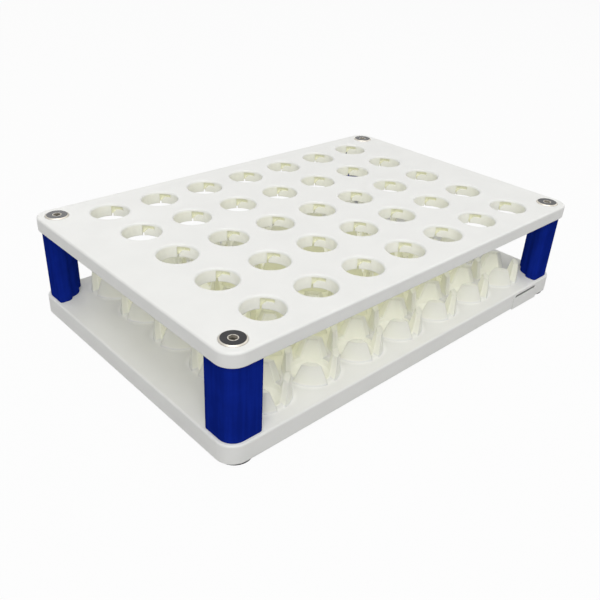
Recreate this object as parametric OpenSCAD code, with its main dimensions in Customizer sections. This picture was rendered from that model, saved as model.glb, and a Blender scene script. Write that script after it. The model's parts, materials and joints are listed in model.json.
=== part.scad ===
// Microcentrifuge tube rack: a holed top plate and a cupped base plate, held apart by four corner
// posts and clamped by four long countersunk screws, on four thin round feet.
// Millimetres. +Z is up, +X runs along the rack, and the origin is the centre of the footprint.

/* [Part] */
// Piece to draw

/* [Tube grid] */
// Tube positions along X
cols = 7; // [3:1:9]
// Tube positions along Y
rows = 5; // [2:1:7]
// Distance between tube centres along X
pitch_x = 17; // [16.5:0.1:22]
// Distance between tube centres along Y
pitch_y = 17.5; // [16.5:0.1:22]
// Diameter of each tube hole
hole_d = 11; // [9:0.1:11.4]
// Rounding of the upper rim of each tube hole
rim_r = 0.7; // [0.2:0.05:0.75]

/* [Plates] */
// Length of both plates
plate_l = 140; // [140:1:180]
// Width of both plates
plate_w = 93.2; // [92.4:0.2:130]
// Corner radius of both plates, seen from above
corner_r = 5; // [3.5:0.1:5.5]
// Rounding of the upper edge of both plates
edge_r = 0.6; // [0.3:0.05:0.7]
// Depth of the top plate at its edge
top_t = 3.8; // [3.4:0.1:6]
// Thickness of the top plate's face
top_skin = 0.8; // [0.8:0.05:1.2]
// Depth of the base plate at its edge
base_t = 5.5; // [5.2:0.1:8]
// Thickness of the base plate's face
base_skin = 1.6; // [1.2:0.1:1.8]
// Thickness of the skirt round both plates
skirt_t = 1.6; // [1.2:0.1:1.8]

/* [Retention tongues] */
// Thickness of the collar that hangs round each tube hole
collar_t = 1; // [0.8:0.05:1.2]
// Height of the slit above each tongue
tongue_gap = 0.9; // [0.5:0.05:1.1]
// Angle at which the tongue's root starts
tongue_root = 20; // [14:1:28]
// Angle of the tongue's free end
tongue_end = 53; // [48:1:54]
// Angle at which the slit past the free end stops
slit_end = 58; // [57:1:62]
// Corner cut off the top of the tongue's free end
tongue_chamfer = 1.1; // [0.3:0.05:1.2]

/* [Cups] */
// Height of the four fingers of each cup
cup_h = 5.9; // [4:0.1:9]
// Outer radius of the fingers where they meet the base plate
cup_foot_r = 7.8; // [7.2:0.05:7.9]
// Outer radius of the fingers at their tips
cup_tip_r = 7.1; // [6.7:0.05:7.3]
// Inner radius of the fingers at their tips
cup_mouth_r = 5.5; // [5.5:0.05:6.2]
// Width of the gaps between fingers at the tips
notch_tip_w = 5.9; // [4.6:0.1:6.4]
// Width of the gaps between fingers at the base plate
notch_foot_w = 2.5; // [1:0.1:3]
// Radius of the solid seat under each cup
seat_r = 7.1; // [6.9:0.05:7.3]
// Depth of the straight bore below each cup
seat_bore = 1.5; // [1:0.1:2]
// Depth of the cone below that bore
seat_cone = 2.5; // [1.5:0.1:2.6]
// Radius of the floor of each seat
seat_floor_r = 3; // [2:0.1:4]

/* [Front tab] */
// Distance from the tab's middle to the right end of the plates
tab_from_end = 17; // [17:0.5:24]
// Length of the tab under the slot in the base plate's front
tab_w = 14; // [10:0.5:14]
// Length of the slot over the tab
slot_w = 11.6; // [8:0.1:12]
// Height of the slot
slot_h = 0.8; // [0.5:0.05:1]
// Thickness of the base plate's edge above the slot
slot_drop = 1.2; // [1:0.05:1.4]
// How far the tab stands out of the skirt
tab_proud = 0.2; // [0.1:0.05:0.3]
// How far the tab hangs below the base plate's skirt
tab_hang = 0.4; // [0.1:0.05:0.4]

/* [Posts] */
// Height of the corner posts
post_h = 21.5; // [18:0.5:40]
// Length of each leg of a post
post_leg = 9.8; // [9:0.1:10]
// Thickness of each leg at its end
post_t = 3.4; // [2.6:0.1:4]
// Set-back of the posts from the edge of the plates
post_inset = 0.9; // [0.5:0.05:1.2]
// Radius of the wall round the screw hole in a post
post_boss_r = 2.6; // [2.4:0.05:2.8]

/* [Screws] */
// Distance from a screw to both edges of the plates
screw_inset = 5.5; // [5.2:0.05:5.8]
// Diameter of the screw's shank
shank_d = 3; // [2.5:0.1:3.2]
// Diameter of the screw's head
head_d = 6.6; // [5.4:0.1:6.8]
// Height of the straight rim of the head, under its bevel
head_rim = 0.15; // [0.1:0.05:0.3]
// Bevel round the top of the head
head_bevel = 0.3; // [0.15:0.05:0.4]
// How far the head stands over the face of the top plate
head_proud = 0.3; // [0.1:0.05:0.4]
// Distance across the flats of the hexagon socket
socket_af = 2; // [1.5:0.1:2.3]
// Depth of the hexagon socket
socket_depth = 1.2; // [0.8:0.1:1.3]
// Material left under the tip of the screw
tip_cover = 0.9; // [0.7:0.1:1.5]

/* [Feet] */
// Diameter of the round feet
foot_d = 9; // [8:0.1:10]
// Thickness of the feet
foot_t = 1; // [0.5:0.05:1.5]
// Distance from a foot's middle to the end of the plates
foot_inset_x = 5.5; // [5:0.1:6]
// Distance from a foot's middle to the long edge of the plates
foot_inset_y = 5; // [5:0.1:6]

/* [Clearances] */
// Clearance all round the shank in the post and the plates
shank_clearance = 0.1; // [0.05:0.05:0.2]
// Clearance all round the head in its countersink
head_clearance = 0.1; // [0.05:0.05:0.2]
// Least clearance between a cup and a post
post_clearance = 0.2; // [0.1:0.05:0.4]

/* [Hidden] */
$fn = 64;
eps = 0.01;
over = 1;                               // overrun of a cutter past what it cuts
lap = 0.1;                              // the same where there is little room
base_z = foot_t;                        // underside of the base plate
deck_z = base_z + base_t;               // upper face of the base plate
top_z = deck_z + post_h;                // underside of the top plate
face_z = top_z + top_t;                 // upper face of the top plate
hole_r = hole_d/2;
shank_r = shank_d/2;
head_r = head_d/2;
pad = post_inset + post_leg;            // solid corner that a post stands on
head_z = face_z + head_proud;           // top of the screw's head
rim_drop = head_bevel + head_rim;       // top of the head's cone, below the top of the head
cone_h = head_r - shank_r;              // a countersunk head at 90 degrees
tip_z = base_z + tip_cover;             // lower end of the screw
web_far = 0.65;                         // where a post's webs meet the wall round the screw hole,
web_near = 0.4;                         // as shares of that wall's radius, along and across a leg
notch_reach = pitch_x/2 + pitch_y/2;    // overrun of the gap cutters past the last cup
white = [0.90, 0.90, 0.87];
blue = [0.03, 0.08, 0.42];
dark = [0.10, 0.10, 0.11];
black = [0.04, 0.04, 0.04];

// The same thing at every tube position.
module at_tubes() {
  for (i = [0:cols - 1], j = [0:rows - 1])
    translate([(i - (cols - 1)/2)*pitch_x, (j - (rows - 1)/2)*pitch_y, 0]) children();
}

// A rectangle with round corners.
module soft_rect(l, w, r) {
  translate([-l/2 + r, -w/2]) square([l - 2*r, w]);
  translate([-l/2, -w/2 + r]) square([l, w - 2*r]);
  for (x = [-1, 1], y = [-1, 1]) translate([x*(l/2 - r), y*(w/2 - r)]) circle(r = r);
}

// What an edge rounding takes away, in section: the edge runs along x = 0, at height t.
module edge_waste(t, e) {
  difference() {
    translate([-e, t - e]) square(2*e);
    translate([-e, t - e]) circle(r = e);
  }
}

// A plate of thickness t, with round corners and a rounded upper edge.
module soft_plate(t) {
  run_x = plate_l - 2*corner_r;
  run_y = plate_w - 2*corner_r;
  difference() {
    linear_extrude(height = t) soft_rect(plate_l, plate_w, corner_r);
    for (m = [0, 1]) mirror([m, 0, 0]) translate([plate_l/2, run_y/2, 0]) rotate([90, 0, 0])
      linear_extrude(height = run_y) edge_waste(t, edge_r);
    for (m = [0, 1]) mirror([0, m, 0]) translate([-run_x/2, plate_w/2, 0]) rotate([90, 0, 90])
      linear_extrude(height = run_x) edge_waste(t, edge_r);
    for (x = [0, 1], y = [0, 1]) mirror([x, 0, 0]) mirror([0, y, 0])
      translate([run_x/2, run_y/2, 0]) rotate_extrude(angle = 90)
        translate([corner_r, 0]) edge_waste(t, edge_r);
  }
}

// The hollow under a plate: all that is inside the skirt, but for the four solid corners.
module under_hollow(depth) {
  translate([0, 0, -eps]) linear_extrude(height = depth + eps) difference() {
    soft_rect(plate_l - 2*skirt_t, plate_w - 2*skirt_t, corner_r - skirt_t);
    for (x = [-1, 1], y = [-1, 1])
      translate([x*(plate_l - pad)/2, y*(plate_w - pad)/2]) square(pad, center = true);
  }
}

// One arc-shaped slit through a collar, from angle a to angle b and from z0 to z1.
module slit(a, b, z0, z1) {
  reach = 2*hole_r;
  translate([0, 0, z0]) linear_extrude(height = z1 - z0) intersection() {
    circle(r = hole_r + 1.5*collar_t);
    polygon([[0, 0], [reach*cos(a), reach*sin(a)], [reach*cos(b), reach*sin(b)]]);
  }
}

// What is cut off the top corner of a tongue's free end: leg c, reaching lap past the corner.
module tongue_corner(c, lap) {
  rotate([0, 0, tongue_end])
    translate([hole_r - collar_t/2, 0, top_t - top_skin - tongue_gap]) rotate([90, 0, 90])
    linear_extrude(height = 2*collar_t) polygon([[-c - lap, lap], [lap, lap], [lap, -c - lap]]);
}

// A through hole with a rounded upper rim, and the two slits that free its tongue.
module tube_hole() {
  translate([0, 0, -eps]) cylinder(r = hole_r, h = top_t + 2*eps);
  rotate_extrude() difference() {
    translate([hole_r - rim_r, top_t - rim_r]) square(2*rim_r);
    translate([hole_r + rim_r, top_t - rim_r]) circle(r = rim_r);
  }
  slit(tongue_end, slit_end, -over, top_t - top_skin);
  slit(tongue_root, slit_end, top_t - top_skin - tongue_gap, top_t - top_skin);
  tongue_corner(tongue_chamfer, lap);
}

// A screw's path down from the face at height z, with its countersink.
module screw_path(z, len) {
  r = head_r + head_clearance;
  translate([0, 0, z - len]) cylinder(r = shank_r + shank_clearance, h = len + over);
  rim_z = z + head_proud - rim_drop;
  translate([0, 0, rim_z - (r - shank_r)]) cylinder(r1 = shank_r, r2 = r, h = r - shank_r);
  translate([0, 0, rim_z]) cylinder(r = r, h = rim_drop + over);
}

module top_plate() {
  color(white) translate([0, 0, top_z]) difference() {
    union() {
      difference() {
        soft_plate(top_t);
        under_hollow(top_t - top_skin);
      }
      at_tubes() cylinder(r = hole_r + collar_t, h = top_t - top_skin + eps);
    }
    at_tubes() tube_hole();
    for (x = [-1, 1], y = [-1, 1])
      translate([x*(plate_l/2 - screw_inset), y*(plate_w/2 - screw_inset), 0])
        screw_path(top_t, top_t + over);
  }
}

// The ring that the fingers of a cup are cut from, standing on z = 0.
module cup_ring() {
  rotate_extrude() polygon([[hole_r, -eps], [cup_foot_r, -eps], [cup_foot_r, 0],
    [cup_tip_r, cup_h], [cup_mouth_r, cup_h], [hole_r, 0]]);
}

// Section of the gap between two fingers, seen along the gap.
module notch_section() {
  polygon([[-notch_foot_w/2, -over], [notch_foot_w/2, -over], [notch_foot_w/2, 0],
    [notch_tip_w/2, cup_h], [notch_tip_w/2, cup_h + over], [-notch_tip_w/2, cup_h + over],
    [-notch_tip_w/2, cup_h], [-notch_foot_w/2, 0]]);
}

// Every cup's four fingers: rings, cut through by one straight gap per row and per column, and cut
// back wherever they would come too near to a post.
module cups() {
  span_x = (cols - 1)*pitch_x + 2*notch_reach;
  span_y = (rows - 1)*pitch_y + 2*notch_reach;
  room = pad + post_clearance;
  difference() {
    at_tubes() cup_ring();
    for (x = [-1, 1], y = [-1, 1])
      translate([x*(plate_l - room)/2, y*(plate_w - room)/2, cup_h/2])
        cube([room, room, cup_h + 2*over], center = true);
    for (j = [0:rows - 1]) translate([-span_x/2, (j - (rows - 1)/2)*pitch_y, 0])
      rotate([90, 0, 90]) linear_extrude(height = span_x) notch_section();
    for (i = [0:cols - 1]) translate([(i - (cols - 1)/2)*pitch_x, span_y/2, 0])
      rotate([90, 0, 0]) linear_extrude(height = span_y) notch_section();
  }
}

module base_plate() {
  color(white) translate([0, 0, base_z]) difference() {
    union() {
      difference() {
        soft_plate(base_t);
        under_hollow(base_t - base_skin);
      }
      at_tubes() cylinder(r = seat_r, h = base_t - base_skin + eps);
      translate([0, 0, base_t]) cups();
      translate([plate_l/2 - tab_from_end - tab_w/2, -plate_w/2 - tab_proud, -tab_hang])
        cube([tab_w, tab_proud + skirt_t, base_t - slot_drop - slot_h + tab_hang]);
    }
    at_tubes() {
      translate([0, 0, base_t - seat_bore - seat_cone])
        cylinder(r1 = seat_floor_r, r2 = hole_r, h = seat_cone);
      translate([0, 0, base_t - seat_bore]) cylinder(r = hole_r, h = seat_bore + eps);
    }
    translate([plate_l/2 - tab_from_end - slot_w/2, -plate_w/2 - over, base_t - slot_drop - slot_h])
      cube([slot_w, skirt_t + 2*over, slot_h]);
    for (x = [-1, 1], y = [-1, 1])
      translate([x*(plate_l/2 - screw_inset), y*(plate_w/2 - screw_inset), tip_cover])
        cylinder(r = shank_r + shank_clearance, h = base_t);
  }
}

// One post, with its outer corner at the origin and its legs along +X and +Y.
module post() {
  r = corner_r - post_inset;
  c = screw_inset - post_inset;
  far = c + post_boss_r*web_far;
  near = c + post_boss_r*web_near;
  color(blue) translate([0, 0, deck_z]) difference() {
    linear_extrude(height = post_h) {
      translate([r, r]) circle(r = r);
      polygon([[r, 0], [post_leg, 0], [post_leg, post_t], [far, near], [near, far],
        [post_t, post_leg], [0, post_leg], [0, r], [r, r]]);
      translate([c, c]) circle(r = post_boss_r);
    }
    translate([c, c, -over]) cylinder(r = shank_r + shank_clearance, h = post_h + 2*over);
  }
}

// A countersunk screw with a hexagon socket, on the Z axis.
module screw() {
  color(dark) difference() {
    union() {
      translate([0, 0, tip_z]) cylinder(r = shank_r, h = head_z - rim_drop - tip_z);
      translate([0, 0, head_z - rim_drop - cone_h])
        cylinder(r1 = shank_r, r2 = head_r, h = cone_h);
      translate([0, 0, head_z - rim_drop]) cylinder(r = head_r, h = head_rim);
      translate([0, 0, head_z - head_bevel])
        cylinder(r1 = head_r, r2 = head_r - head_bevel, h = head_bevel);
    }
    translate([0, 0, head_z - socket_depth])
      cylinder(d = socket_af/cos(30), h = socket_depth + over, $fn = 6);
  }
}

module foot() {
  color(black) cylinder(d = foot_d, h = foot_t);
}

// Places a piece at the corner on side x (-1 left, 1 right) and y (-1 front, 1 rear).
module at_corner(x, y, in_x, in_y) {
  translate([x*(plate_l/2 - in_x), y*(plate_w/2 - in_y), 0])
    mirror([x > 0 ? 1 : 0, 0, 0]) mirror([0, y > 0 ? 1 : 0, 0]) children();
}

module post_front_left() { at_corner(-1, -1, post_inset, post_inset) post(); }
module post_front_right() { at_corner(1, -1, post_inset, post_inset) post(); }
module post_rear_left() { at_corner(-1, 1, post_inset, post_inset) post(); }
module post_rear_right() { at_corner(1, 1, post_inset, post_inset) post(); }
module screw_front_left() { at_corner(-1, -1, screw_inset, screw_inset) screw(); }
module screw_front_right() { at_corner(1, -1, screw_inset, screw_inset) screw(); }
module screw_rear_left() { at_corner(-1, 1, screw_inset, screw_inset) screw(); }
module screw_rear_right() { at_corner(1, 1, screw_inset, screw_inset) screw(); }
module foot_front_left() { at_corner(-1, -1, foot_inset_x, foot_inset_y) foot(); }
module foot_front_right() { at_corner(1, -1, foot_inset_x, foot_inset_y) foot(); }
module foot_rear_left() { at_corner(-1, 1, foot_inset_x, foot_inset_y) foot(); }
module foot_rear_right() { at_corner(1, 1, foot_inset_x, foot_inset_y) foot(); }

top_plate();
base_plate();
post_front_left();
post_front_right();
post_rear_left();
post_rear_right();
screw_front_left();
screw_front_right();
screw_rear_left();
screw_rear_right();
foot_front_left();
foot_front_right();
foot_rear_left();
foot_rear_right();
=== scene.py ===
import json
import math

import bmesh
import bpy
from bpy.props import FloatProperty, FloatVectorProperty, PointerProperty
from mathutils import Matrix, Vector

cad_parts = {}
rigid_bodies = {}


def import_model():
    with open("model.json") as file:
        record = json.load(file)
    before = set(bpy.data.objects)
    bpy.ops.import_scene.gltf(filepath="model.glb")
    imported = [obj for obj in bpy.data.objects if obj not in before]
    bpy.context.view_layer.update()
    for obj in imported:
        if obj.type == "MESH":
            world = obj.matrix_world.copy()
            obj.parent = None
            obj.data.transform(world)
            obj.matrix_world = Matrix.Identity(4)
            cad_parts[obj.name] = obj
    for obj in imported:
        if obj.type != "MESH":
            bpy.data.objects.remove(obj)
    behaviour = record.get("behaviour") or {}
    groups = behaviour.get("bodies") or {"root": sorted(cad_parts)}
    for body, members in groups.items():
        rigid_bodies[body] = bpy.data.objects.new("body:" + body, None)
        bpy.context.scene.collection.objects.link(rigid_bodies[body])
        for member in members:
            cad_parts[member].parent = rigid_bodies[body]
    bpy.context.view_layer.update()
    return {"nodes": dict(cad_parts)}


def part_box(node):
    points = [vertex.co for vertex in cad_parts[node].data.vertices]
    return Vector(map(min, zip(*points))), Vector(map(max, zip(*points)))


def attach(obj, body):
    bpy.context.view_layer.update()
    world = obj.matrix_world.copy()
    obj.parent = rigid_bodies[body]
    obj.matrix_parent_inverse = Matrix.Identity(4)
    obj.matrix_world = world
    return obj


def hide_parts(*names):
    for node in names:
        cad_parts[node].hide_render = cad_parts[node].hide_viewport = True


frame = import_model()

bl_info = {
    "name": "Microcentrifuge Tube Rack",
    "version": (1, 0, 0),
    "blender": (4, 5, 0),
    "location": "3D View > Sidebar > Tube Rack",
    "description": "Dresses the packed tube rack in moulded plastic, steel and rubber",
    "category": "Object",
}

CORNERS = ("front_left", "front_right", "rear_left", "rear_right")
COLS, ROWS = 7, 5
SMOOTH_ANGLE = math.radians(35.0)


# ---------------------------------------------------------------- shader maths

class Value:
    """A node socket that Python's arithmetic can be written on."""

    def __init__(self, nodes, socket):
        self.nodes = nodes
        self.socket = socket

    def _math(self, operation, a, b=None):
        return self.nodes.add("ShaderNodeMath", {"operation": operation},
                              {0: a, 1: b} if b is not None else {0: a})

    def __add__(self, other):
        return self._math("ADD", self, other)

    __radd__ = __add__

    def __sub__(self, other):
        return self._math("SUBTRACT", self, other)

    def __rsub__(self, other):
        return self._math("SUBTRACT", other, self)

    def __mul__(self, other):
        return self._math("MULTIPLY", self, other)

    def __truediv__(self, other):
        return self._math("DIVIDE", self, other)

    def __abs__(self):
        return self._math("ABSOLUTE", self)

    def root(self):
        return self._math("SQRT", self)

    def nearest(self):
        """The nearest whole number."""
        return self._math("ROUND", self)

    def most(self, other):
        return self._math("MAXIMUM", self, other)

    def above(self, step, level=0.0):
        """0 below a soft step, and 1 above it. The step's two ends are measured from level."""
        return self.nodes.add("ShaderNodeMapRange", {"interpolation_type": "SMOOTHSTEP"},
                              {"Value": self, "From Min": level + step[0],
                               "From Max": level + step[1]})

    def below(self, step, level=0.0):
        """1 below a soft step, and 0 above it."""
        return 1.0 - self.above(step, level)


class Nodes:
    """The node tree of one material, or of the world."""

    def __init__(self, tree):
        self.tree = tree

    def add(self, kind, settings=None, inputs=None, output=0):
        """Adds a node, sets and links its inputs, and gives one of its outputs."""
        node = self.tree.nodes.new(kind)
        for name, value in (settings or {}).items():
            setattr(node, name, value)
        for name, value in (inputs or {}).items():
            if isinstance(value, Value):
                self.tree.links.new(value.socket, node.inputs[name])
            else:
                node.inputs[name].default_value = value
        return Value(self, node.outputs[output])

    def place(self):
        """Object coordinates, in metres."""
        return self.add("ShaderNodeTexCoord", output="Object")

    def split(self, vector):
        """The X, Y and Z of a vector."""
        node = self.tree.nodes.new("ShaderNodeSeparateXYZ")
        self.tree.links.new(vector.socket, node.inputs[0])
        return [Value(self, node.outputs[i]) for i in range(3)]

    def noise(self, place, scale, detail, roughness=0.55):
        return self.add("ShaderNodeTexNoise", None, {
            "Vector": place, "Scale": scale, "Detail": detail, "Roughness": roughness})

    def stretch(self, place, scale):
        return self.add("ShaderNodeMapping", None, {"Vector": place, "Scale": scale})

    def mix(self, factor, a, b):
        """A colour that goes from a to b."""
        node = self.tree.nodes.new("ShaderNodeMix")
        node.data_type = "RGBA"
        self.tree.links.new(factor.socket, node.inputs[0])
        for index, colour in ((6, a), (7, b)):
            if isinstance(colour, Value):
                self.tree.links.new(colour.socket, node.inputs[index])
            else:
                node.inputs[index].default_value = tuple(colour)[:3] + (1.0,)
        return Value(self, node.outputs[2])

    def bump(self, height, strength, distance, edge):
        """Fine relief on a surface whose sharp edges are softened over the distance edge."""
        soft = self.add("ShaderNodeBevel", {"samples": 4}, {"Radius": edge})
        return self.add("ShaderNodeBump", None, {
            "Height": height, "Strength": strength, "Distance": distance, "Normal": soft})

    def seen(self):
        """1 on camera, glossy and transmission rays, and 0 on all others."""
        path = self.tree.nodes.new("ShaderNodeLightPath")
        return Value(self, path.outputs["Is Camera Ray"]) \
            + Value(self, path.outputs["Is Glossy Ray"]) \
            + Value(self, path.outputs["Is Transmission Ray"])


def new_material(name, **constants):
    """A material with a Principled shader, and its constant sockets set on the shader."""
    material = bpy.data.materials.new(name)
    material.use_nodes = True
    tree = material.node_tree
    tree.nodes.clear()
    shader = tree.nodes.new("ShaderNodeBsdfPrincipled")
    output = tree.nodes.new("ShaderNodeOutputMaterial")
    tree.links.new(shader.outputs[0], output.inputs[0])
    for socket, value in constants.items():
        shader.inputs[socket.replace("_", " ")].default_value = value
    return material, Nodes(tree), shader


def feed(nodes, shader, **links):
    """Links values to a shader's sockets."""
    for socket, value in links.items():
        nodes.tree.links.new(value.socket, shader.inputs[socket.replace("_", " ")])


def shade(colour, share):
    """A colour made darker, or lighter where share is over 1."""
    return [c*share for c in colour]


def vary(value, base, spread):
    """A number that goes from base to base + spread as value goes from 0 to 1."""
    return base + value*spread


# ---------------------------------------------------------------- white plastic

# Where the painted light and shade on the white plastic change. Each pair holds the two ends
# of a soft step, in metres.
# Radii from the nearest tube's centre line. The root is the ring round the fingers' feet,
# which a painted glow lightens.
WALL_RADII = (0.0057, 0.0061)
SLIT_RADII = (0.0055, 0.0058)
BORE_RADII = (0.0056, 0.0062)
ROOT_RADII = (0.0064, 0.0076)
ROOT_END_RADII = (0.0080, 0.0094)
# Heights from the lower edge of the top plate's skirt. The painted shade that darkens a hole's
# wall towards its foot is one long step, so it has a height for each of its ends.
HOLE_FOOT = (-0.0004, -0.0001)
DIM_FOOT = -0.0002
# Heights from the top plate's upper face.
HOLE_RIM = (-0.0009, -0.0002)
DIM_HEAD = -0.0008
# Heights from the tips of the fingers.
TIPS = (0.0, 0.0005)
CUP_MOUTH = (-0.0008, -0.0001)
SPACE_TOP = (0.0005, 0.0010)
# Heights from the deck of the base plate.
FINGER_FOOT = (0.0001, 0.0006)
ROOT_FOOT = (-0.0002, -0.0001)
ROOT_HEAD = (0.0001, 0.0012)
# Where the shaded space between the plates ends, from the middle of the rack. Painted olive
# bounce light and glow fill it.
SPACE_X = (0.040, 0.050)
SPACE_Y = (0.024, 0.034)
# The slot in the front of the base plate, darkened with painted shade: a step where it starts
# and one where it ends.
SLOT_X = ((0.0468, 0.0470), (0.0590, 0.0592))
SLOT_Y = ((-0.04655, -0.0464), (-0.0450, -0.0448))
SLOT_Z = ((0.00442, 0.00446), (0.00534, 0.00538))
# Width of the fade at the edge of the grid of tubes, as a share of the pitch.
GRID_FADE = 0.1

# The noise values between which the mottle goes from one shade to the other.
MOTTLE_RANGE = (0.3, 0.7)
MOTTLE_SHADE = 0.975
# Painted shade at the foot of a hole's wall.
DIM_SHADE = 0.84
# Painted shade in the slot.
SLOT_SHADE = 0.5

# Painted light: an emitted glow stands in for light that the plastic lets through. These are
# multiples of the glow that the panel sets.
WALL_GLOW = 2.0
ROOT_GLOW = 2.0
SLIT_GLOW = 2.2
SPACE_GLOW = 1.9
CUP_GLOW = 2.6
MIDDLE_CUP_GLOW = 3.8


class WhiteZones:
    """How far a point of the white plastic lies in each zone, from 0 to 1."""

    def __init__(self, nodes, place, sizes):
        x, y, z = nodes.split(place)
        low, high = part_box("top_plate")
        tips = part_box("base_plate")[1][2]
        deck = tips - sizes.cup_height
        off_x = x - (x/sizes.pitch_x).nearest()*sizes.pitch_x
        off_y = y - (y/sizes.pitch_y).nearest()*sizes.pitch_y
        radius = (off_x*off_x + off_y*off_y).root()
        on_grid = abs(x).below((sizes.pitch_x*(COLS/2 - GRID_FADE), sizes.pitch_x*COLS/2)) \
            * abs(y).below((sizes.pitch_y*(ROWS/2 - GRID_FADE), sizes.pitch_y*ROWS/2))
        in_hole = z.above(HOLE_FOOT, low[2])*z.below(HOLE_RIM, high[2])
        wall = in_hole*radius.below(WALL_RADII)
        slit = in_hole*radius.above(SLIT_RADII)
        finger = z.above(FINGER_FOOT, deck)*z.below(TIPS, tips)

        self.wall = on_grid*wall
        # Painted shade: a hole's wall gets darker towards its foot.
        self.painted_shade_wall = self.wall*z.below((low[2] + DIM_FOOT, high[2] + DIM_HEAD))
        # Painted bounce light: cream tint and glow on the hole walls and the fingers.
        self.cream_bounce = on_grid*wall.most(finger)
        self.space = z.below(SPACE_TOP, tips)*abs(x).below(SPACE_X)*abs(y).below(SPACE_Y)
        # Painted bounce light: olive tint and glow in the collars' slits and the shaded space.
        self.olive_bounce = (on_grid*slit).most(self.space)
        # Painted light: cream tint and glow inside the cups' bores, strongest in the middle.
        self.cup = on_grid*z.below(CUP_MOUTH, tips)*radius.below(BORE_RADII)
        # Painted light: a glow lightens the ring round the fingers' feet.
        self.root = on_grid*z.above(ROOT_FOOT, deck)*z.below(ROOT_HEAD, deck) \
            * radius.above(ROOT_RADII)*radius.below(ROOT_END_RADII)
        # Painted shade: the slot in the front of the base plate is darkened.
        self.slot = z.above(SLOT_Z[0])*z.below(SLOT_Z[1]) \
            * x.above(SLOT_X[0])*x.below(SLOT_X[1]) \
            * y.above(SLOT_Y[0])*y.below(SLOT_Y[1])


def moulded_white(sizes):
    """Off-white moulded plastic, neutral where it is lit, with painted light and shade: cream
    and olive tints and a glow for light that bounces inside and passes through the plastic,
    and darker hole-wall feet and slot.
    """
    material, nodes, shader = new_material("moulded_white_plastic", IOR=1.49,
                                           Emission_Strength=1.0)
    place = nodes.place()
    zones = WhiteZones(nodes, place, sizes)
    mottle = nodes.noise(place, scale=90.0, detail=3.0)
    colour = nodes.mix(mottle.above(MOTTLE_RANGE), sizes.white,
                       shade(sizes.white, MOTTLE_SHADE))
    # Painted bounce light and shade: cream and olive tints, darker wall feet and a darker
    # slot.
    for zone, tint in ((zones.cream_bounce, sizes.cream),
                       (zones.painted_shade_wall, shade(sizes.cream, DIM_SHADE)),
                       (zones.olive_bounce, sizes.olive),
                       (zones.cup, sizes.cream),
                       (zones.slot, shade(sizes.white, SLOT_SHADE))):
        colour = nodes.mix(zone, colour, tint)
    # Painted light: the plastic glows, though it is no lamp.
    glow = (0.0, 0.0, 0.0)
    for zone, tint, share in ((zones.cream_bounce, sizes.cream, 1.0),
                              (zones.wall, sizes.cream, WALL_GLOW),
                              (zones.root, sizes.white, ROOT_GLOW),
                              (zones.olive_bounce, sizes.olive, SLIT_GLOW),
                              (zones.space, sizes.olive, SPACE_GLOW),
                              (zones.cup, sizes.cream, CUP_GLOW),
                              (zones.cup*zones.space, sizes.cream, MIDDLE_CUP_GLOW)):
        glow = nodes.mix(zone, glow, shade(tint, sizes.glow*share))
    grain = nodes.noise(place, scale=5200.0, detail=2.0)
    feed(nodes, shader, Base_Color=colour, Roughness=vary(mottle, base=0.44, spread=0.1),
         Emission_Color=glow,
         Normal=nodes.bump(grain, strength=0.22, distance=0.00006, edge=0.00035))
    return material


# ---------------------------------------------------------------- other finishes

# The drag lines run along Z. The rest of the tone is a coarser cloud.
DRAG_STRETCH = (1.0, 1.0, 0.05)
DRAG_SHARE = 0.6
DRAG_RANGE = (0.35, 0.65)
BLUE_SHADES = (1.12, 0.82)


def blue_plastic(sizes):
    """Royal blue plastic with fine vertical drag lines."""
    material, nodes, shader = new_material("blue_plastic", IOR=1.5, Specular_IOR_Level=0.0)
    place = nodes.place()
    drag = nodes.noise(nodes.stretch(place, DRAG_STRETCH), scale=900.0, detail=3.0)
    cloud = nodes.noise(place, scale=160.0, detail=3.0)
    tone = (drag*DRAG_SHARE + cloud*(1.0 - DRAG_SHARE)).above(DRAG_RANGE)
    colour = nodes.mix(tone, *(shade(sizes.blue, share) for share in BLUE_SHADES))
    feed(nodes, shader, Base_Color=colour, Roughness=vary(drag, base=0.33, spread=0.14),
         Normal=nodes.bump(drag, strength=0.3, distance=0.00005, edge=0.0005))
    return material


# Soft steps on a screw, in metres: radii from the head's rim, radii from the centre line,
# and heights from the top of the head.
BEVEL_RADII = (-0.00036, -0.00030)
SOCKET_RADII = (0.00120, 0.00132)
SOCKET_FLOOR = (-0.0010, -0.0005)
RUB_RANGE = (0.35, 0.7)
RUB_SHADE = 1.2
# Painted shade: the socket's floor is a darker share of the highlight steel.
FLOOR_SHADE = 0.35
# Roughness added where the painted highlight is.
HIGHLIGHT_ROUGHNESS = 0.25


def black_steel(sizes):
    """Blackened screw steel, with a painted highlight of light steel on the bevel of the head
    and in its socket.
    """
    material, nodes, shader = new_material("black_steel", Metallic=1.0)
    place = nodes.place()
    x, y, z = nodes.split(place)
    low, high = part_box("screw_rear_right")
    off_x = abs(x) - (low[0] + high[0])/2
    off_y = abs(y) - (low[1] + high[1])/2
    radius = (off_x*off_x + off_y*off_y).root()
    # Painted highlight: light steel on the head's bevel and in the socket.
    bevel = radius.above(BEVEL_RADII, (high[0] - low[0])/2)
    socket = radius.below(SOCKET_RADII)
    bare = bevel.most(socket)
    # Painted shade towards the socket's floor.
    floor = socket*z.below(SOCKET_FLOOR, high[2])
    rub = nodes.noise(place, scale=700.0, detail=3.0)
    colour = nodes.mix(rub.above(RUB_RANGE), sizes.steel, shade(sizes.steel, RUB_SHADE))
    colour = nodes.mix(bare, colour, sizes.bare)
    colour = nodes.mix(floor, colour, shade(sizes.bare, FLOOR_SHADE))
    feed(nodes, shader, Base_Color=colour,
         Roughness=vary(rub, base=0.2, spread=0.1) + bare*HIGHLIGHT_ROUGHNESS)
    return material


RUBBER_DARK = (0.008, 0.008, 0.009)
RUBBER_LIGHT = (0.02, 0.02, 0.021)


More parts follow.
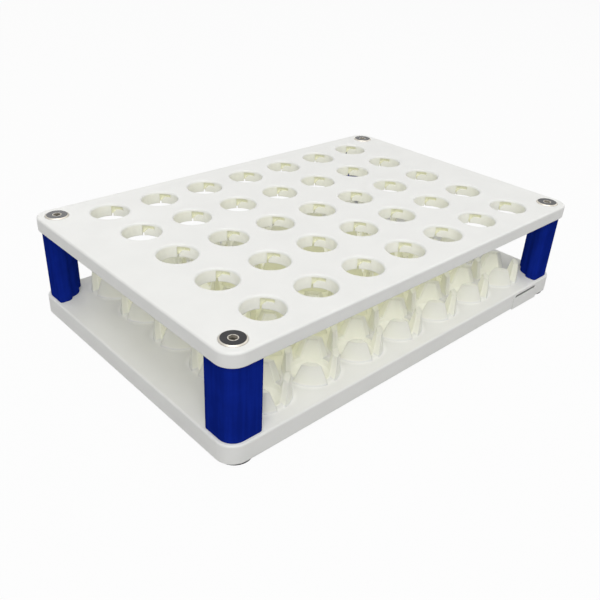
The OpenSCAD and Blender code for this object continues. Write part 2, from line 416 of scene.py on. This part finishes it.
def black_rubber():
    """Dull black rubber."""
    material, nodes, shader = new_material("black_rubber", IOR=1.5)
    pores = nodes.noise(nodes.place(), scale=3800.0, detail=4.0)
    feed(nodes, shader, Base_Color=nodes.mix(pores, RUBBER_DARK, RUBBER_LIGHT),
         Roughness=vary(pores, base=0.7, spread=0.2),
         Normal=nodes.bump(pores, strength=0.4, distance=0.00006, edge=0.0001))
    return material


FLOOR_GREY = (0.6, 0.6, 0.6, 1.0)
WHITE = (1.0, 1.0, 1.0, 1.0)


def floor_finish(sizes):
    """White sweep that shows white to the camera and keeps the rack's shadow."""
    material = bpy.data.materials.new("white_sweep")
    material.use_nodes = True
    tree = material.node_tree
    tree.nodes.clear()
    nodes = Nodes(tree)
    diffuse = nodes.add("ShaderNodeBsdfDiffuse", None, {"Color": FLOOR_GREY})
    glow = nodes.add("ShaderNodeEmission", None, {"Color": WHITE, "Strength": 1.0})
    mix = nodes.add("ShaderNodeMixShader", None,
                    {0: nodes.seen()*sizes.floor_glow, 1: diffuse, 2: glow})
    output = tree.nodes.new("ShaderNodeOutputMaterial")
    tree.links.new(mix.socket, output.inputs[0])
    return material


# ---------------------------------------------------------------- sizes and colours

class RackSizes(bpy.types.PropertyGroup):
    pitch_x: FloatProperty(
        name="Pitch X", description="Distance between tube centres along X",
        default=0.017, unit="LENGTH", precision=4)
    pitch_y: FloatProperty(
        name="Pitch Y", description="Distance between tube centres along Y",
        default=0.0175, unit="LENGTH", precision=4)
    white: FloatVectorProperty(
        name="White", description="Colour of both moulded plates",
        subtype="COLOR", size=3, default=(0.80, 0.80, 0.777))
    # Painted bounce light: the cream that stands in for light in the cups and on walls and
    # fingers.
    cream: FloatVectorProperty(
        name="Cream", description="Colour of the plastic down in the cups",
        subtype="COLOR", size=3, default=(0.86, 0.86, 0.785))
    # Painted bounce light: the olive that stands in for light bouncing in the shaded interior.
    olive: FloatVectorProperty(
        name="Olive", description="Colour of the plastic where light bounces",
        subtype="COLOR", size=3, default=(0.82, 0.82, 0.66))
    # Painted light: the strength of the glow that stands in for light let through the plastic.
    glow: FloatProperty(
        name="Glow", description="Light that the plastic lets through in the cups",
        default=0.05, min=0.0, max=0.3, subtype="FACTOR")
    cup_height: FloatProperty(
        name="Cup height", description="Height of the cups over the deck",
        default=0.0059, unit="LENGTH", precision=4)
    face_thickness: FloatProperty(
        name="Face thickness", description="Thickness of the top face",
        default=0.0008, unit="LENGTH", precision=4)
    rib_radius: FloatProperty(
        name="Rib radius", description="Middle radius of a tongue's rib",
        default=0.0068, unit="LENGTH", precision=4)
    rib_thickness: FloatProperty(
        name="Rib thickness", description="Thickness of a tongue's rib",
        default=0.0006, unit="LENGTH", precision=4)
    rib_lift: FloatProperty(
        name="Rib lift", description="Height of a rib over the skirt's edge",
        default=0.0004, unit="LENGTH", precision=4)
    rib_start: FloatProperty(
        name="Rib start", description="Angle at which a rib starts",
        default=math.radians(12.0), subtype="ANGLE")
    rib_sweep: FloatProperty(
        name="Rib sweep", description="Angle that a rib covers",
        default=math.radians(58.0), subtype="ANGLE")
    blue: FloatVectorProperty(
        name="Blue", description="Colour of the corner posts",
        subtype="COLOR", size=3, default=(0.0052, 0.0192, 0.243))
    post_round: FloatProperty(
        name="Post rounding", description="Rounding of the upright edges of the posts",
        default=0.0008, unit="LENGTH", precision=4)
    steel: FloatVectorProperty(
        name="Steel", description="Colour of the screws",
        subtype="COLOR", size=3, default=(0.048, 0.048, 0.050))
    # Painted highlight: the light steel of the head's bevel and socket.
    bare: FloatVectorProperty(
        name="Highlight steel", description="Colour of the screws' bare edges",
        subtype="COLOR", size=3, default=(0.55, 0.52, 0.46))
    floor_glow: FloatProperty(
        name="Floor glow", description="How white the floor shows",
        default=0.95, min=0.0, max=1.0, subtype="FACTOR")


# ---------------------------------------------------------------- pieces

def finish_node(name, material):
    """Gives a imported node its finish, and leaves its shape alone."""
    node = frame["nodes"][name]
    node.data.materials.clear()
    node.data.materials.append(material)
    return node


def select_only(context, *pieces):
    """Selects these pieces and no others, and makes the first of them active."""
    bpy.ops.object.select_all(action="DESELECT")
    for piece in pieces:
        piece.select_set(True)
    context.view_layer.objects.active = pieces[0]


class RACK_OT_plates(bpy.types.Operator):
    """Finish the top plate and the base plate in moulded white plastic"""
    bl_idname = "rack.plates"
    bl_label = "Plates"

    def execute(self, context):
        material = moulded_white(context.scene.rack_sizes)
        for name in ("top_plate", "base_plate"):
            finish_node(name, material)
        return {"FINISHED"}


RIB_STEPS = 12
# How far a rib's head reaches into the top face, in metres.
RIB_SINK = 0.0001


class RACK_OT_ribs(bpy.types.Operator):
    """Model the curved rib behind each retention tongue, under the top plate"""
    bl_idname = "rack.ribs"
    bl_label = "Tongue ribs"

    def execute(self, context):
        sizes = context.scene.rack_sizes
        low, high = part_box("top_plate")
        foot = low[2] + sizes.rib_lift
        head = high[2] - sizes.face_thickness + RIB_SINK
        bpy.ops.object.select_all(action="DESELECT")
        bpy.ops.mesh.primitive_plane_add(size=1.0, location=(0, 0, 0))
        first = context.object
        bpy.ops.object.mode_set(mode="EDIT")
        bpy.ops.mesh.select_all(action="SELECT")
        bpy.ops.transform.rotate(value=math.pi/2, orient_axis="X", center_override=(0, 0, 0))
        bpy.ops.transform.resize(value=(sizes.rib_thickness, 1.0, head - foot),
                                 center_override=(0, 0, 0))
        bpy.ops.transform.translate(value=(sizes.rib_radius, 0.0, (head + foot)/2))
        bpy.ops.transform.rotate(value=-sizes.rib_start, orient_axis="Z",
                                 center_override=(0, 0, 0))
        bpy.ops.mesh.spin(steps=RIB_STEPS, angle=-sizes.rib_sweep,
                          center=(0, 0, 0), axis=(0, 0, 1))
        bpy.ops.mesh.select_all(action="SELECT")
        bpy.ops.mesh.normals_make_consistent(inside=False)
        bpy.ops.object.mode_set(mode="OBJECT")
        copies = [first]
        for column in range(COLS):
            for row in range(ROWS):
                if (column, row) == (COLS//2, ROWS//2):
                    continue  # the first rib stands here
                select_only(context, first)
                bpy.ops.object.duplicate()
                context.object.location = ((column - (COLS - 1)/2)*sizes.pitch_x,
                                           (row - (ROWS - 1)/2)*sizes.pitch_y, 0.0)
                copies.append(context.object)
        select_only(context, *copies)
        bpy.ops.object.join()
        bpy.ops.object.transform_apply(location=True, rotation=True, scale=True)
        bpy.ops.object.shade_smooth_by_angle(angle=SMOOTH_ANGLE)
        first.name = "tongue_ribs"
        first.data.materials.append(frame["nodes"]["top_plate"].data.materials[0])
        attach(first, "root")
        return {"FINISHED"}


MERGE_DISTANCE = 1e-6
FLAT_ANGLE = math.radians(1.0)
SHARP_ANGLE = math.radians(50.0)
# Least Z of the direction of an edge that stands upright.
UPRIGHT = 0.999
ROUND_SEGMENTS = 5


def round_upright_edges(piece, radius):
    """Rounds the sharp outward edges of the active piece that stand upright."""
    bpy.ops.object.mode_set(mode="EDIT")
    bpy.ops.mesh.select_mode(type="EDGE")
    bpy.ops.mesh.select_all(action="SELECT")
    bpy.ops.mesh.remove_doubles(threshold=MERGE_DISTANCE)
    bpy.ops.mesh.dissolve_limited(angle_limit=FLAT_ANGLE)
    bpy.ops.mesh.select_all(action="DESELECT")
    mesh = bmesh.from_edit_mesh(piece.data)
    for edge in mesh.edges:
        along = (edge.verts[0].co - edge.verts[1].co).normalized()
        if abs(along.z) > UPRIGHT and edge.is_convex \
                and edge.calc_face_angle(0.0) > SHARP_ANGLE:
            edge.select_set(True)
    bmesh.update_edit_mesh(piece.data)
    bpy.ops.mesh.bevel(offset=radius, segments=ROUND_SEGMENTS, affect="EDGES")
    bpy.ops.object.mode_set(mode="OBJECT")
    bpy.ops.object.shade_smooth_by_angle(angle=SMOOTH_ANGLE)


class RACK_OT_posts(bpy.types.Operator):
    """Make the four corner posts in blue plastic, with their legs' ends rounded"""
    bl_idname = "rack.posts"
    bl_label = "Posts"

    def execute(self, context):
        sizes = context.scene.rack_sizes
        material = blue_plastic(sizes)
        for corner in CORNERS:
            select_only(context, finish_node("post_" + corner, material))
            bpy.ops.object.duplicate()
            piece = context.object
            piece.name = "soft_post_" + corner
            for key in list(piece.keys()):
                del piece[key]
            bpy.ops.object.parent_clear(type="CLEAR_KEEP_TRANSFORM")
            round_upright_edges(piece, sizes.post_round)
            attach(piece, "root")
            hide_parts("post_" + corner)
        return {"FINISHED"}


class RACK_OT_screws(bpy.types.Operator):
    """Finish the four screws in blackened steel"""
    bl_idname = "rack.screws"
    bl_label = "Screws"

    def execute(self, context):
        material = black_steel(context.scene.rack_sizes)
        for corner in CORNERS:
            finish_node("screw_" + corner, material)
        return {"FINISHED"}


class RACK_OT_feet(bpy.types.Operator):
    """Finish the four feet in black rubber"""
    bl_idname = "rack.feet"
    bl_label = "Feet"

    def execute(self, context):
        material = black_rubber()
        for corner in CORNERS:
            finish_node("foot_" + corner, material)
        return {"FINISHED"}


# ---------------------------------------------------------------- stage

FLOOR_SIZE = 6.0
# How bright the world is as a light, and how much more it shows to the camera.
WORLD_LIGHT = 0.12
WORLD_SEEN = 0.86
LAMP_AIM = Vector((0, 0, 0.02))
# Name, place, width and power, in metres and watts.
LAMPS = (
    ("top_lamp", (0.0, 0.0, 0.9), 0.8, 4.4),
    ("front_lamp", (-0.5, -0.5, 0.7), 0.6, 5.4),
    ("side_lamp", (0.9, -0.3, 0.5), 0.6, 1.6),
    ("back_lamp", (0.2, 1.0, 0.35), 0.6, 0.8),
)
# The camera's sensor and lens are in millimetres, and the rest is in metres.
SENSOR_WIDTH = 36.0
LENS = 41.443
CAMERA_CLIP = 0.01
CAMERA_PLACE = (-0.140363, -0.139115, 0.113628)
# The camera's right, up and back directions.
CAMERA_AXES = (
    Vector((0.73519238, -0.67628681, 0.04613362)),
    Vector((0.31059214, 0.39657458, 0.86386406)),
    Vector((-0.60251529, -0.62077754, 0.50160798)),
)


class RACK_OT_stage(bpy.types.Operator):
    """Set up the white floor, the soft lamps and the camera"""
    bl_idname = "rack.stage"
    bl_label = "Stage"

    def execute(self, context):
        sizes = context.scene.rack_sizes
        bpy.ops.object.select_all(action="DESELECT")
        bpy.ops.mesh.primitive_plane_add(size=FLOOR_SIZE, location=(0, 0, 0))
        floor = context.object
        floor.name = "floor"
        floor.data.materials.append(floor_finish(sizes))

        world = bpy.data.worlds.new("studio")
        world.use_nodes = True
        context.scene.world = world
        nodes = Nodes(world.node_tree)
        strength = vary(nodes.seen(), base=WORLD_LIGHT, spread=WORLD_SEEN)
        background = world.node_tree.nodes["Background"]
        background.inputs["Color"].default_value = WHITE
        world.node_tree.links.new(strength.socket, background.inputs["Strength"])

        for name, place, width, power in LAMPS:
            bpy.ops.object.light_add(type="AREA", location=place)
            lamp = context.object
            lamp.name = name
            lamp.data.size = width
            lamp.data.energy = power
            aim = LAMP_AIM - Vector(place)
            lamp.rotation_euler = aim.to_track_quat("-Z", "Y").to_euler()

        bpy.ops.object.camera_add()
        camera = context.object
        camera.name = "camera"
        camera.data.sensor_width = SENSOR_WIDTH
        camera.data.lens = LENS
        camera.data.clip_start = CAMERA_CLIP
        turn = Matrix(CAMERA_AXES).transposed().to_4x4()
        camera.matrix_world = Matrix.Translation(CAMERA_PLACE) @ turn
        context.scene.camera = camera
        context.scene.view_settings.view_transform = "Standard"
        return {"FINISHED"}


# ---------------------------------------------------------------- panel and registration

OPERATORS = (RACK_OT_stage, RACK_OT_plates, RACK_OT_ribs,
             RACK_OT_posts, RACK_OT_screws, RACK_OT_feet)


class RACK_PT_panel(bpy.types.Panel):
    bl_label = "Tube Rack"
    bl_space_type = "VIEW_3D"
    bl_region_type = "UI"
    bl_category = "Tube Rack"

    def draw(self, context):
        layout = self.layout
        sizes = context.scene.rack_sizes
        for name in RackSizes.__annotations__:
            layout.prop(sizes, name)
        for operator in OPERATORS:
            layout.operator(operator.bl_idname)


CLASSES = (RackSizes,) + OPERATORS + (RACK_PT_panel,)


def register():
    for cls in CLASSES:
        bpy.utils.register_class(cls)
    bpy.types.Scene.rack_sizes = PointerProperty(type=RackSizes)


def unregister():
    del bpy.types.Scene.rack_sizes
    for cls in reversed(CLASSES):
        bpy.utils.unregister_class(cls)


def main():
    register()
    for operator in OPERATORS:
        group, name = operator.bl_idname.split(".")
        getattr(getattr(bpy.ops, group), name)()


if __name__ == "__main__":
    main()
